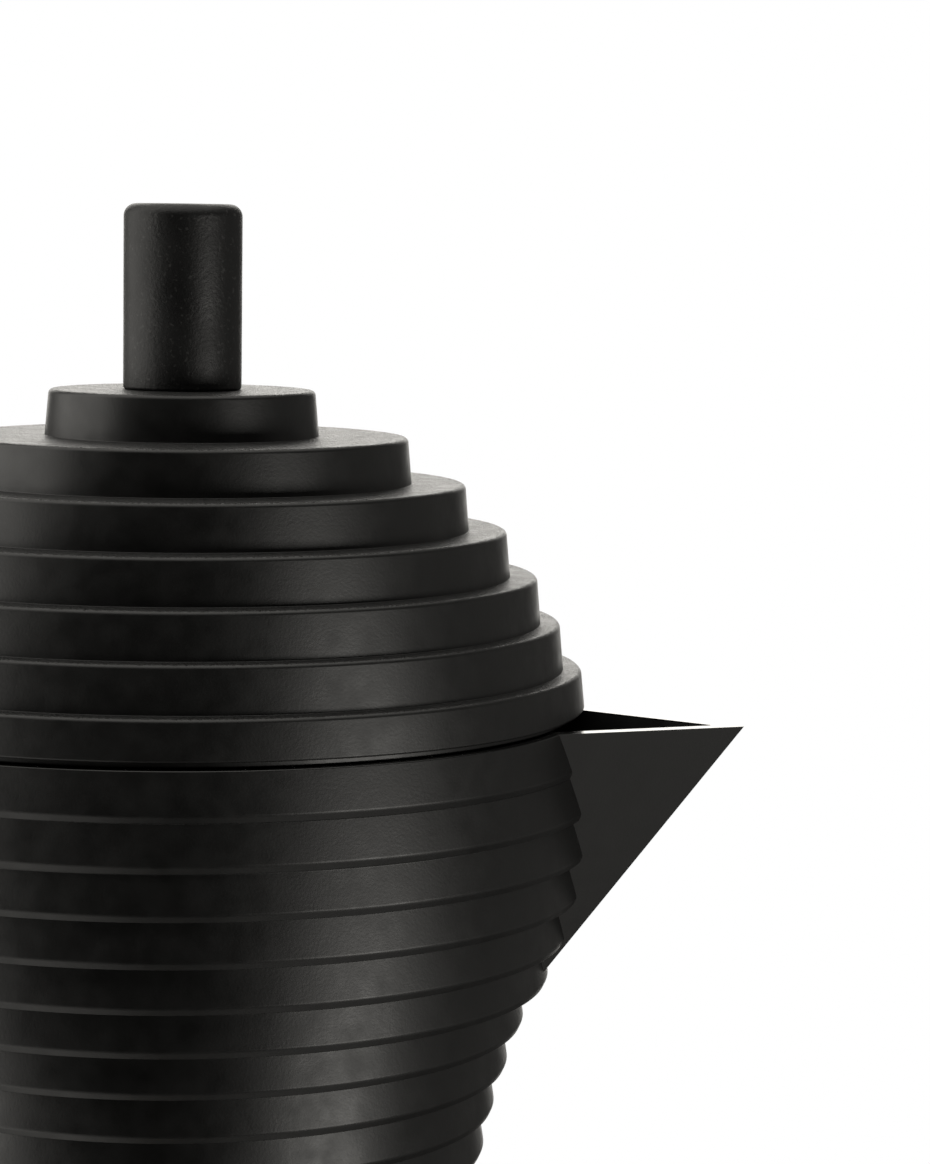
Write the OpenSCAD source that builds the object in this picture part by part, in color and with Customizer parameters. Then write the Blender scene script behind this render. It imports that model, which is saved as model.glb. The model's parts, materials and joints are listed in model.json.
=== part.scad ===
// Stove-top moka pot, closed and standing on its base.
// Origin: centre of the base on the table. +Z up, the spout points to +X, the handle to -X.
// All lengths in millimetres.

/* [Overall] */
// Height of the boiler from the table to its shoulder
boiler_h = 80.7; // [68:0.1:100]
// Radius of the plain band at the foot of the boiler
base_r = 47.4; // [41:0.1:58]
// Radius of the waist, where the upper chamber meets the boiler
waist_r = 33.4; // [28:0.1:40.1]
// Largest radius of the upper chamber
belly_r = 46.6; // [42:0.1:56]

/* [Boiler] */
// Height of the plain band below the boiler's rings
base_band_h = 35.7; // [32:0.1:42]
// Number of stepped rings on the boiler
boiler_rings = 9; // [5:1:11]
// Thickness of the boiler's wall
boiler_wall = 2.6; // [2:0.1:3.4]
// Thickness of the boiler's bottom
boiler_floor = 4; // [3:0.1:6]
// Chamfer round the foot
foot_chamfer = 1.2; // [0.5:0.1:2]
// Height of the threaded neck above the shoulder
neck_h = 10; // [8.4:0.1:14]
// Thickness of the neck's wall below its thread
neck_wall = 2.2; // [1.6:0.1:3]

/* [Upper chamber] */
// Number of stepped rings on the upper chamber
chamber_rings = 13; // [12:1:16]
// Height of one ring
ring_h = 5; // [4.6:0.1:6]
// Extra height of the topmost ring
rim_land = 0.3; // [0:0.1:1]
// How much each ring narrows from its foot to its top
ring_draft = 0.7; // [0.2:0.05:0.8]
// Least width of the ledge between two rings
min_ledge = 0.25; // [0.15:0.05:0.3]
// Thickness of the chamber's wall
chamber_wall = 2.6; // [2:0.1:3.2]
// Thickness of the chamber's floor
chamber_floor = 3.4; // [2.8:0.1:5]
// Thickness of the skirt's wall behind its thread
skirt_wall = 1.8; // [1.5:0.05:2.4]
// Gap between the skirt and the boiler's shoulder
skirt_gap = 0.8; // [0.4:0.1:1.4]

/* [Spout] */
// Distance from the pot's axis to the tip of the spout
spout_tip = 63.7; // [58:0.1:72]
// Half of the angle between the spout's two sides, seen from above
spout_half_angle = 29; // [24:1:34]
// Slope of the keel under the spout, in degrees below level
keel_slope = 52.6; // [46:0.1:60]
// Thickness of the spout's sides
spout_wall = 1.6; // [1.4:0.1:2.6]

/* [Thread] */
// Rise of the thread for one turn
thread_pitch = 3; // [2.6:0.1:3.6]
// Depth of the thread
thread_depth = 1.3; // [1:0.1:1.5]
// Gap between the two threads, crest to root
thread_gap = 0.3; // [0.2:0.05:0.4]
// Turns of thread on each piece
thread_turns = 2; // [1.5:0.25:2.25]

/* [Lid] */
// How far the lid's edge stays inside the rim's
lid_inset = 0; // [0:0.05:0.8]
// Number of stacked discs in the lid
lid_discs = 7; // [5:1:8]
// Height of one disc of the lid
disc_h = 5.13; // [4.4:0.01:6.2]
// How much each disc narrows from its foot to its top
disc_draft = 0.45; // [0.2:0.05:0.7]
// Radius of the topmost disc at its foot
top_disc_r = 15.3; // [13:0.1:19]
// Thinnest part of the lid's wall
lid_wall = 2.2; // [1.8:0.1:3]
// Dark seam between the lid and the rim
lid_gap = 0.75; // [0.4:0.05:1]
// Radius of the hinge's knuckles
knuckle_r = 3; // [2.6:0.1:3.2]
// Radius of the hinge pin
hinge_pin_r = 1.5; // [1.2:0.1:1.8]
// Half of the width of the lid's own knuckle
knuckle_half_w = 5.6; // [4.5:0.1:7]
// Thickness of each ear on the chamber
ear_t = 3.5; // [2.5:0.1:5]

/* [Knob] */
// Radius of the knob
knob_r = 6.6; // [5.6:0.1:8]
// Height of the knob
knob_h = 20.6; // [17:0.1:25]
// Rounding of the knob's top edge
knob_round = 1.4; // [0.8:0.1:2]

/* [Handle] */
// Distance from the pot's axis to the middle of the grip
grip_x = 91.5; // [84:0.5:104]
// Length of the handle below its arm
grip_l = 92; // [78:1:100]
// Width of the handle across the pot
handle_w = 17; // [15:0.5:21]
// Height of the handle's arm
arm_h = 15; // [14:0.5:17]
// Thickness of the grip, seen from the side
grip_t = 14; // [12:0.5:17]
// Rounding of the handle's edges
handle_round = 4.5; // [3:0.5:5.5]
// Height of the tang that the handle slides over
tang_h = 6; // [5:0.1:6.5]
// Width of the tang
tang_w = 10; // [8:0.1:11]
// Length of the tang beyond the belly
tang_l = 24; // [20:0.5:28]

/* [Funnel and filter] */
// Depth of the funnel's coffee cup
cup_depth = 19; // [15:0.5:23]
// Thickness of the funnel's wall
funnel_wall = 0.8; // [0.6:0.1:1.2]
// Inner radius of the funnel's tube
funnel_tube_r = 3.6; // [3:0.1:4.4]
// Gap between the funnel's tube and the boiler's bottom
tube_foot_gap = 5; // [3:0.5:8]
// Thickness of the sealing ring
gasket_t = 3; // [2.4:0.1:3.6]
// Thickness of the filter plate and of the funnel's sieve
plate_t = 0.8; // [0.6:0.1:1]
// Distance between neighbouring holes of the filter plate
hole_pitch = 4.6; // [4:0.1:6]
// Radius of each hole
hole_r = 0.8; // [0.5:0.05:1.1]

/* [Column] */
// Radius of the column at its foot
column_r = 7.5; // [6.5:0.1:9]
// Radius of the column near its top
column_top_r = 4.8; // [4.4:0.1:6]
// How far the column's top stays below the rim
column_drop = 6; // [3:0.5:12]
// Radius of each coffee outlet
outlet_r = 1.5; // [1:0.1:1.8]

/* [Safety valve] */
// Height of the valve above the table
valve_z = 22; // [20:0.5:25]
// Radius of the flat boss round the valve
boss_r = 9; // [8.5:0.1:10]
// Radius of the valve's threaded shank
valve_shank_r = 5; // [4.6:0.1:5.4]
// Radius of the chamber that holds the spring
valve_bore_r = 3.4; // [3.2:0.1:3.6]
// Travel of the plunger
valve_travel = 1.2; // [0.8:0.1:1.4]
// Radius of the spring's wire
wire_r = 0.25; // [0.2:0.01:0.3]
// Turns of the spring
spring_turns = 6; // [4:1:8]

/* [Hidden] */
$fn = 96;

// Small running gap between a pin and its hole, a fitting gap, and a sliding clearance
run_gap = 0.05;
fit_gap = 0.02;
slip_gap = 0.3;
// How far a cut passes beyond the face that it opens
past = 1;

cast_black = [0.13, 0.13, 0.13];
moulded_black = [0.06, 0.06, 0.06];
bare_metal = [0.75, 0.75, 0.74];
brass = [0.78, 0.62, 0.32];
seal_white = [0.88, 0.87, 0.83];
steel = [0.62, 0.63, 0.64];

chamber_h = chamber_rings * ring_h + rim_land;
rim_z = boiler_h + chamber_h;

// Share of the swell from the waist to the belly, at a share t of the way down from the rim
belly_t = 0.168;
bend_t = 0.54;
belly_curve = 4.08;
bend_share = 1 - belly_curve * pow(bend_t - belly_t, 2);
function swell(t) =
    t < bend_t ? 1 - belly_curve * pow(t - belly_t, 2) : bend_share * pow((1 - t) / (1 - bend_t), 2);
function chamber_r(depth) = waist_r + (belly_r - waist_r) * swell(min(depth / chamber_h, 1));
function chamber_inner_r(depth) = chamber_r(depth + ring_h) - ring_draft - chamber_wall;
function ring_depth(i) = i < 1 ? 0 : rim_land + i * ring_h;

// The thread grows outwards from the neck and inwards from the skirt
skirt_r = waist_r - ring_draft - skirt_wall;
neck_crest_r = skirt_r - thread_gap;
neck_r = neck_crest_r - thread_depth;
skirt_crest_r = skirt_r - thread_depth;
neck_bore_r = neck_r - neck_wall;
neck_top = boiler_h + neck_h;
thread_h = thread_turns * thread_pitch;
ridge_root_w = 0.62 * thread_pitch;
ridge_tip_w = 0.32 * thread_pitch;
male_z = boiler_h + 2.6;

// The stack that the top clamps: funnel flange, sealing ring, chamber floor
flange_r = neck_r - 0.6;
flange_top = neck_top + funnel_wall;
seal_z = flange_top + run_gap;
floor_under = seal_z + gasket_t;
floor_z = floor_under + chamber_floor;
seal_recess_r = neck_r + 0.2;
seal_inner_r = neck_bore_r - 3.6;
plate_r = neck_bore_r - 0.8;
pocket_r = seal_inner_r - 1.2;
pocket_h = 1.2;

cup_r = neck_bore_r - slip_gap;
cup_inner_r = cup_r - funnel_wall;
cup_floor = neck_top - cup_depth;
sieve_ledge = 2.2;
cone_h = 8;
tube_z = boiler_floor + tube_foot_gap;
tube_outer_r = funnel_tube_r + funnel_wall;

spigot_r = column_r - 1.5;
column_bore_r = spigot_r - 1.8;
column_top_bore_r = column_top_r - 1.4;
column_top_z = rim_z - column_drop;
column_cap_h = 3;
shoulder_h = 1.5;

// Ring i of the chamber, counted from the rim: its foot overhangs the ring below it
function chamber_ring_foot(i) = chamber_r(ring_depth(i + 1));
function chamber_ring_top(i) =
    min(chamber_ring_foot(i) - ring_draft, i > 0 ? chamber_ring_foot(i - 1) - min_ledge : belly_r);

// The lid's discs follow a dome through the rim and the foot of the topmost disc
rim_r = chamber_ring_top(0);
lid_r = rim_r - lid_inset;
lid_h = lid_discs * disc_h;
lid_top = rim_z + lid_h;
dome_edge_r = lid_r - 0.6;
top_disc_z = lid_h - disc_h;
dome_drop = (pow(dome_edge_r, 2) - pow(top_disc_r, 2) - pow(top_disc_z, 2)) / (2 * top_disc_z);
dome_r = sqrt(pow(dome_edge_r, 2) + pow(dome_drop, 2));
washer_r = 5.5;
// The flat under the knob lies where the hollow is wide enough for the washer
hollow_r = dome_r - lid_wall;
lid_top_t = max(5.4, lid_h + dome_drop - sqrt(pow(hollow_r, 2) - pow(washer_r + 0.5, 2)));
seat_outer_r = lid_r - 1.2;
seat_w = 1;

hinge_x = -rim_r - 4.8;
ear_foot_l = -hinge_x - rim_r + 1.5;
lid_arm_l = -hinge_x - lid_r + 1.5;
hinge_z = rim_z + 0.4;
ear_y = knuckle_half_w + 0.4;
pin_half_l = ear_y + ear_t + fit_gap;
pin_head_h = 0.8;
pin_head_r = hinge_pin_r + 0.8;
ear_foot_h = 3.6;

screw_r = 1.95;
insert_r = 3.2;
insert_l = 10;
screw_head_r = 3.4;
screw_head_h = 2;
washer_t = 0.8;
hex_recess_r = 1.7;

arm_z = rim_z - ear_foot_h - 0.4 - arm_h / 2;
arm_start = belly_r + 1;
tang_end = belly_r + tang_l;
tang_gap = 0.15;
handle_screw_x = -(belly_r + 15.5);
handle_seat_z = arm_z - arm_h / 2 + screw_head_h + 0.2;
handle_insert_l = 3.2;
handle_insert_z = arm_z + tang_h / 2 + tang_gap;

boss_face = base_r + 1;
valve_seat = boss_face - 2.5;
shank_l = 6.4;
hex_h = 4;
hex_r = 7.8;
nose_h = 5;
nose_r = valve_bore_r + 1.3;
valve_end = boss_face + washer_t + hex_h + nose_h;
valve_hole_r = 1.7;
plunger_head_r = valve_bore_r - 0.4;
plunger_head_h = 1.8;
stem_r = 1.1;
cap_h = 1.8;
spring_r = (stem_r + valve_bore_r) / 2;
spring_foot = valve_seat + run_gap + plunger_head_h;
spring_l = valve_end - cap_h - spring_foot;

// Share of the flare from the waist to the base, at a share t of the way up the boiler's rings
function flare(t) = t < 0.5 ? 1 - 2 * t * t : 2 * pow(1 - t, 2);
boiler_ring_h = (boiler_h - base_band_h) / boiler_rings;
function boiler_ring_r(i) = waist_r + (base_r - waist_r) * flare((i + 0.5) / boiler_rings);
function boiler_ring_z(i) = base_band_h + i * boiler_ring_h;
function boiler_ring_top(i) =
    max(boiler_ring_r(i) - ring_draft,
        i < boiler_rings - 1 ? boiler_ring_r(i + 1) + min_ledge : 0);

function disc_r(z) = z < disc_h / 2 ? lid_r : sqrt(pow(dome_r, 2) - pow(z + dome_drop, 2));

// Skin over a row of rings, each with the same number of points, clockwise seen along the row
module swept(rings) {
    sides = len(rings[0]);
    last = (len(rings) - 1) * sides;
    skin = [
        for (i = [0:len(rings) - 2])
            for (j = [0:sides - 1])
                let (k = (j + 1) % sides, lo = i * sides, hi = lo + sides)
                    each [[lo + j, hi + k, lo + k], [lo + j, hi + j, hi + k]]
    ];
    start_cap = [for (j = [1:sides - 2]) [0, j, j + 1]];
    end_cap = [for (j = [1:sides - 2]) [last, last + j + 1, last + j]];
    polyhedron(points = [for (ring = rings) each ring], faces = concat(skin, start_cap, end_cap));
}

// A ridge wound round Z; its section's points are [radius, height]
module helix(section, pitch, turns, z, steps_per_turn) {
    steps = ceil(turns * steps_per_turn);
    swept([
        for (i = [0:steps])
            let (a = 360 * turns * i / steps)
                [for (p = section) [p[0] * cos(a), p[0] * sin(a), z + p[1] + pitch * a / 360]]
    ]);
}

// Trapezoid for a thread that grows from root_r to tip_r, sunk a little into its wall
function thread_section(root_r, tip_r) =
    let (out = tip_r > root_r, sink = out ? -0.4 : 0.4)
    let (a = [root_r + sink, -ridge_root_w / 2], b = [tip_r, -ridge_tip_w / 2])
    let (c = [tip_r, ridge_tip_w / 2], d = [root_r + sink, ridge_root_w / 2])
    out ? [d, c, b, a] : [a, b, c, d];

// Perforations on a triangular grid inside a circle
module holes(inside_r, t) {
    n = ceil(inside_r / hole_pitch);
    for (i = [-n:n])
        for (j = [-n:n])
            let (x = hole_pitch * (i + j / 2), y = hole_pitch * j * sin(60))
                if (norm([x, y]) < inside_r)
                    translate([x, y, -past])
                        cylinder(r = hole_r, h = t + 2 * past);
}

module tube(outer_r, inner_r, h) {
    difference() {
        cylinder(r = outer_r, h = h);
        translate([0, 0, -past])
            cylinder(r = inner_r, h = h + 2 * past);
    }
}

// Turns a piece built along +Z so that it points out of the boiler's side at the valve
module at_valve() {
    translate([0, 0, valve_z])
        rotate([90, 0, 0])
            children();
}

module boiler_outside() {
    rotate_extrude()
        polygon([
            [0, 0],
            [base_r - foot_chamfer, 0],
            [base_r, foot_chamfer],
            [base_r - ring_draft, base_band_h],
            for (i = [0:boiler_rings - 1])
                each [
                    [boiler_ring_r(i), boiler_ring_z(i)],
                    [boiler_ring_top(i), boiler_ring_z(i + 1)]
                ],
            [neck_r, boiler_h],
            [neck_r, neck_top],
            [0, neck_top]
        ]);
}

module boiler_inside() {
    floor_round = 4;
    side_r = base_r - ring_draft - boiler_wall;
    rotate_extrude()
        polygon([
            [0, boiler_floor],
            [side_r - floor_round, boiler_floor],
            [side_r, boiler_floor + floor_round],
            [side_r, base_band_h - boiler_ring_h],
            for (i = [0:boiler_rings - 2])
                [boiler_ring_r(i) - ring_draft - boiler_wall, boiler_ring_z(i)],
            [neck_bore_r, boiler_h - boiler_wall],
            [neck_bore_r, neck_top + past],
            [0, neck_top + past]
        ]);
}

module boiler() {
    color(cast_black)
        difference() {
            union() {
                boiler_outside();
                at_valve()
                    cylinder(r = boss_r, h = boss_face);
                helix(thread_section(neck_r, neck_crest_r), thread_pitch, thread_turns, male_z, 36);
            }
            boiler_inside();
            at_valve()
                cylinder(r = valve_shank_r + fit_gap, h = boss_face + past);
        }
}

module valve_washer() {
    color(seal_white)
        at_valve()
            translate([0, 0, boss_face])
                tube(hex_r - 0.9, valve_shank_r + fit_gap, washer_t);
}

module valve_body() {
    color(brass)
        at_valve()
            difference() {
                union() {
                    translate([0, 0, boss_face - shank_l])
                        cylinder(r = valve_shank_r, h = shank_l + washer_t);
                    translate([0, 0, boss_face + washer_t])
                        cylinder(r = hex_r, h = hex_h, $fn = 6);
                    translate([0, 0, boss_face + washer_t + hex_h])
                        cylinder(r = nose_r, h = nose_h);
                }
                translate([0, 0, valve_seat])
                    cylinder(r = valve_bore_r, h = valve_end);
                cylinder(r = valve_hole_r, h = valve_end);
            }
}

module valve_plunger() {
    color(steel)
        at_valve()
            translate([0, 0, valve_seat + run_gap]) {
                cylinder(r = plunger_head_r, h = plunger_head_h);
                cylinder(r = stem_r, h = valve_end - valve_seat + 2);
            }
}

module valve_spring() {
    wire_sides = 6;
    coil_l = spring_l - 2 * (wire_r + run_gap);
    section = [
        for (i = [0:wire_sides - 1])
            [spring_r + wire_r * cos(-60 * i), wire_r * sin(-60 * i)]
    ];
    color(steel)
        at_valve()
            helix(section, coil_l / spring_turns, spring_turns, spring_foot + wire_r + run_gap, 20);
}

module valve_cap() {
    color(brass)
        at_valve()
            translate([0, 0, valve_end - cap_h])
                tube(valve_bore_r - fit_gap, stem_r + 0.1, cap_h);
}

module funnel() {
    sieve_r = cup_inner_r - sieve_ledge;
    throat_z = cup_floor - cone_h;
    color(bare_metal)
        rotate_extrude()
            polygon([
                [cup_inner_r, flange_top],
                [flange_r, flange_top],
                [flange_r, neck_top],
                [cup_r, neck_top],
                [cup_r, cup_floor - funnel_wall],
                [sieve_r + funnel_wall, cup_floor - funnel_wall],
                [tube_outer_r, throat_z - funnel_wall],
                [tube_outer_r, tube_z],
                [funnel_tube_r, tube_z],
                [funnel_tube_r, throat_z],
                [sieve_r, cup_floor],
                [cup_inner_r, cup_floor]
            ]);
}

module funnel_sieve() {
    color(bare_metal)
        translate([0, 0, cup_floor])
            difference() {
                cylinder(r = cup_inner_r - fit_gap, h = plate_t);
                holes(cup_inner_r - sieve_ledge - 2 * hole_r, plate_t);
            }
}

module gasket() {
    lip_z = floor_under - plate_t - run_gap;
    color(seal_white)
        rotate_extrude()
            polygon([
                [seal_inner_r, seal_z],
                [seal_recess_r - fit_gap, seal_z],
                [seal_recess_r - fit_gap, floor_under],
                [plate_r + run_gap, floor_under],
                [plate_r + run_gap, lip_z],
                [seal_inner_r, lip_z]
            ]);
}

module filter_plate() {
    color(bare_metal)
        translate([0, 0, floor_under - plate_t])
            difference() {
                cylinder(r = plate_r, h = plate_t);
                holes(pocket_r - 2 * hole_r, plate_t);
            }
}

// Solid V under the lip: the two sides meet in a straight keel, which starts at the tip
module spout_wedge(inset) {
    across = atan(tan(spout_half_angle) / sin(keel_slope));
    deep = 30;
    run = 45;
    apex = -inset / sin(across);
    translate([spout_tip, 0, rim_z])
        rotate([0, 90 - keel_slope, 0])
            translate([0, 0, -run])
                linear_extrude(height = 2 * run)
                    polygon([
                        [apex, 0],
                        [-deep, (deep + apex) * tan(across)],
                        [-deep, -(deep + apex) * tan(across)]
                    ]);
}

module chamber_outside() {
    rotate_extrude()
        polygon([
            [0, boiler_h + skirt_gap],
            [waist_r, boiler_h + skirt_gap],
            for (i = [chamber_rings - 1:-1:0])
                each [
                    [chamber_ring_foot(i), max(rim_z - ring_depth(i + 1), boiler_h + skirt_gap)],
                    [chamber_ring_top(i), rim_z - ring_depth(i)]
                ],
            [0, rim_z]
        ]);
}

module chamber_inside() {
    floor_round = 3;
    floor_depth = rim_z - floor_z;
    walls = floor((floor_depth - floor_round) / ring_h);
    bottom_r = chamber_inner_r(floor_depth);
    rotate_extrude()
        polygon([
            [0, floor_z],
            [bottom_r - floor_round, floor_z],
            [bottom_r, floor_z + floor_round],
            for (i = [walls:-1:0])
                [chamber_inner_r(i * ring_h), rim_z - i * ring_h],
            [chamber_inner_r(0), rim_z + past],
            [0, rim_z + past]
        ]);
}

module hinge_ears() {
    for (side = [-1, 1])
        translate([0, side * (ear_y + ear_t / 2), 0])
            rotate([90, 0, 0])
                linear_extrude(height = ear_t, center = true)
                    union() {
                        translate([hinge_x, hinge_z])
                            circle(r = knuckle_r);
                        translate([hinge_x, rim_z - ear_foot_h])
                            square([ear_foot_l, ear_foot_h]);
                    }
}

module tang() {
    root_x = belly_r - 2.3;
    translate([-tang_end, -tang_w / 2, arm_z - tang_h / 2])
        cube([tang_end - root_x, tang_w, tang_h]);
}

module chamber_shell() {
    difference() {
        union() {
            chamber_outside();
            intersection() {
                spout_wedge(0);
                translate([0, 0, floor_z])
                    cylinder(r = spout_tip + past, h = rim_z - floor_z);
            }
        }
        chamber_inside();
        spout_wedge(spout_wall);
    }
}

module chamber_casting() {
        difference() {
            union() {
                chamber_shell();
                hinge_ears();
                tang();
            }
            translate([0, 0, boiler_h])
                cylinder(r = skirt_r, h = flange_top + slip_gap - boiler_h);
            cylinder(r = seal_recess_r, h = floor_under);
            cylinder(r = pocket_r, h = floor_under + pocket_h);
            cylinder(r = spigot_r, h = floor_z + past);
            translate([hinge_x, 0, hinge_z])
                rotate([90, 0, 0])
                    cylinder(r = hinge_pin_r + fit_gap, h = 4 * pin_half_l, center = true);
            translate([handle_screw_x, 0, 0])
                cylinder(r = screw_r + 0.2, h = rim_z);
        }
}

module upper_chamber() {
    color(cast_black)
        union() {
            chamber_casting();
            helix(thread_section(skirt_r, skirt_crest_r), thread_pitch, thread_turns,
                  male_z - thread_pitch / 2, 36);
        }
}

module column() {
    color(bare_metal)
        difference() {
            rotate_extrude()
                polygon([
                    [0, floor_under + pocket_h],
                    [spigot_r - fit_gap, floor_under + pocket_h],
                    [spigot_r - fit_gap, floor_z],
                    [column_r, floor_z],
                    [column_r, floor_z + shoulder_h],
                    [column_top_r, column_top_z - column_cap_h],
                    [column_top_r - 1, column_top_z - 0.8],
                    [column_top_r - 2.4, column_top_z],
                    [0, column_top_z]
                ]);
            translate([0, 0, floor_under])
                cylinder(r1 = column_bore_r, r2 = column_top_bore_r,
                         h = column_top_z - column_cap_h - floor_under);
            translate([0, 0, column_top_z - column_cap_h - 2 * outlet_r])
                rotate([90, 0, 0])
                    cylinder(r = outlet_r, h = 4 * column_r, center = true);
        }
}

module lid_outside() {
    rotate_extrude()
        polygon([
            [0, rim_z + lid_gap],
            [lid_r, rim_z + lid_gap],
            for (i = [0:lid_discs - 1])
                each [
                    [disc_r(i * disc_h), rim_z + max(i * disc_h, lid_gap)],
                    [disc_r(i * disc_h) - disc_draft, rim_z + (i + 1) * disc_h]
                ],
            [0, lid_top]
        ]);
}

module lid_inside() {
    intersection() {
        translate([0, 0, rim_z - dome_drop])
            sphere(r = hollow_r);
        translate([0, 0, rim_z - past])
            cylinder(r = lid_r, h = lid_h - lid_top_t + past);
    }
}

module lid() {
    color(cast_black)
        difference() {
            union() {
                lid_outside();
                translate([0, 0, rim_z + run_gap])
                    cylinder(r = seat_outer_r, h = disc_h / 2);
                translate([hinge_x, 0, hinge_z])
                    rotate([90, 0, 0])
                        cylinder(r = knuckle_r, h = 2 * knuckle_half_w, center = true);
                translate([hinge_x, -knuckle_half_w, rim_z + lid_gap])
                    cube([lid_arm_l, 2 * knuckle_half_w, hinge_z + knuckle_r - rim_z - lid_gap]);
            }
            lid_inside();
            cylinder(r = seat_outer_r - seat_w, h = rim_z + lid_gap);
            cylinder(r = screw_r + 0.2, h = lid_top + past);
            translate([hinge_x, 0, hinge_z])
                rotate([90, 0, 0])
                    cylinder(r = hinge_pin_r + run_gap, h = 4 * knuckle_half_w, center = true);
        }
}

module hinge_pin() {
    color(steel)
        translate([hinge_x, 0, hinge_z])
            rotate([90, 0, 0]) {
                cylinder(r = hinge_pin_r, h = 2 * pin_half_l, center = true);
                for (side = [-1, 1])
                    translate([0, 0, side * (pin_half_l + pin_head_h / 2)])
                        cylinder(r = pin_head_r, h = pin_head_h, center = true);
            }
}

module knob() {
    color(moulded_black)
        translate([0, 0, lid_top])
            difference() {
                union() {
                    cylinder(r = knob_r, h = knob_h - knob_round);
                    cylinder(r = knob_r - knob_round, h = knob_h);
                    translate([0, 0, knob_h - knob_round])
                        rotate_extrude()
                            translate([knob_r - knob_round, 0])
                                intersection() {
                                    circle(r = knob_round);
                                    square(knob_round);
                                }
                }
                translate([0, 0, -past])
                    cylinder(r = insert_r, h = insert_l + past);
            }
}

module knob_insert() {
    color(brass)
        translate([0, 0, lid_top])
            tube(insert_r - fit_gap, screw_r + run_gap, insert_l);
}

module knob_washer() {
    color(steel)
        translate([0, 0, lid_top - lid_top_t - washer_t])
            tube(washer_r, screw_r + 0.2, washer_t);
}

module knob_screw() {
    head_z = lid_top - lid_top_t - washer_t - screw_head_h;
    color(steel)
        difference() {
            union() {
                translate([0, 0, head_z])
                    cylinder(r = screw_head_r, h = screw_head_h);
                translate([0, 0, head_z])
                    cylinder(r = screw_r, h = lid_top + insert_l - 2 - head_z);
            }
            translate([0, 0, head_z - past])
                cylinder(r = hex_recess_r, h = past + screw_head_h * 0.7, $fn = 6);
        }
}

// Rounded rectangle across the handle, drawn in by inset; at tilt 0 it stands across the arm
function handle_ring(x, z, tilt, thick, wide, inset) =
    let (corner = handle_round - 0.9 * inset)
    let (up = thick / 2 - inset - corner, out = wide / 2 - inset - corner)
        [
            for (k = [0:3])
                for (j = [0:4])
                    let (a = 90 * k + 22.5 * j, mid = 90 * k + 45)
                    let (p = sign(cos(mid)) * up + corner * cos(a))
                    let (q = sign(sin(mid)) * out + corner * sin(a))
                        [x - p * sin(tilt), q, z + p * cos(tilt)]
        ];

// The arm runs out level, turns down through a quarter circle and ends in the grip
module handle_shape() {
    bend_r = 13;
    end_w = handle_w - 1.5;
    end_t = grip_t - 1.5;
    bend_x = grip_x - bend_r;
    low_z = arm_z - grip_l;
    end_steps = [0:22.5:90];
    swept([
        for (a = end_steps)
            handle_ring(-arm_start - handle_round * (1 - cos(a)), arm_z, 0, arm_h, handle_w,
                        handle_round * (1 - sin(a))),
        for (t = [0:15:90])
            handle_ring(-bend_x - bend_r * sin(t), arm_z - bend_r * (1 - cos(t)), t,
                        arm_h + (grip_t - arm_h) * t / 90, handle_w, 0),
        for (a = end_steps)
            handle_ring(-grip_x, low_z + handle_round * (1 - sin(a)), 90, end_t, end_w,
                        handle_round * (1 - cos(a)))
    ]);
}

module handle() {
    socket_h = tang_h + 2 * tang_gap;
    socket_w = tang_w + 2 * tang_gap;
    color(moulded_black)
        difference() {
            handle_shape();
            translate([-tang_end - tang_gap, -socket_w / 2, arm_z - socket_h / 2])
                cube([tang_end, socket_w, socket_h]);
            translate([handle_screw_x, 0, handle_seat_z - arm_h])
                cylinder(r = screw_head_r + 0.2, h = arm_h);
            translate([handle_screw_x, 0, arm_z - arm_h])
                cylinder(r = screw_r + 0.2, h = arm_h);
            translate([handle_screw_x, 0, arm_z])
                cylinder(r = insert_r, h = handle_insert_z + handle_insert_l - arm_z);
        }
}

module handle_insert() {
    color(brass)
        translate([handle_screw_x, 0, handle_insert_z])
            tube(insert_r - fit_gap, screw_r + run_gap, handle_insert_l);
}

module handle_screw() {
    color(steel)
        translate([handle_screw_x, 0, handle_seat_z - screw_head_h])
            difference() {
                union() {
                    cylinder(r = screw_head_r, h = screw_head_h);
                    cylinder(r = screw_r, h = handle_insert_z + handle_insert_l - handle_seat_z + screw_head_h - 0.2);
                }
                translate([0, 0, -past])
                    cylinder(r = hex_recess_r, h = past + screw_head_h * 0.7, $fn = 6);
            }
}

boiler();
valve_washer();
valve_body();
valve_plunger();
valve_spring();
valve_cap();
funnel();
funnel_sieve();
gasket();
filter_plate();
upper_chamber();
column();
lid();
hinge_pin();
knob();
knob_insert();
knob_washer();
knob_screw();
handle();
handle_insert();
handle_screw();
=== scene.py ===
"""Looks for the moka pot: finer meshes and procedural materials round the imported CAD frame."""

import json
from math import atan2, cos, pi, radians, sin, sqrt, tan

import bmesh
import bpy
from mathutils import Matrix, Vector


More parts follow.
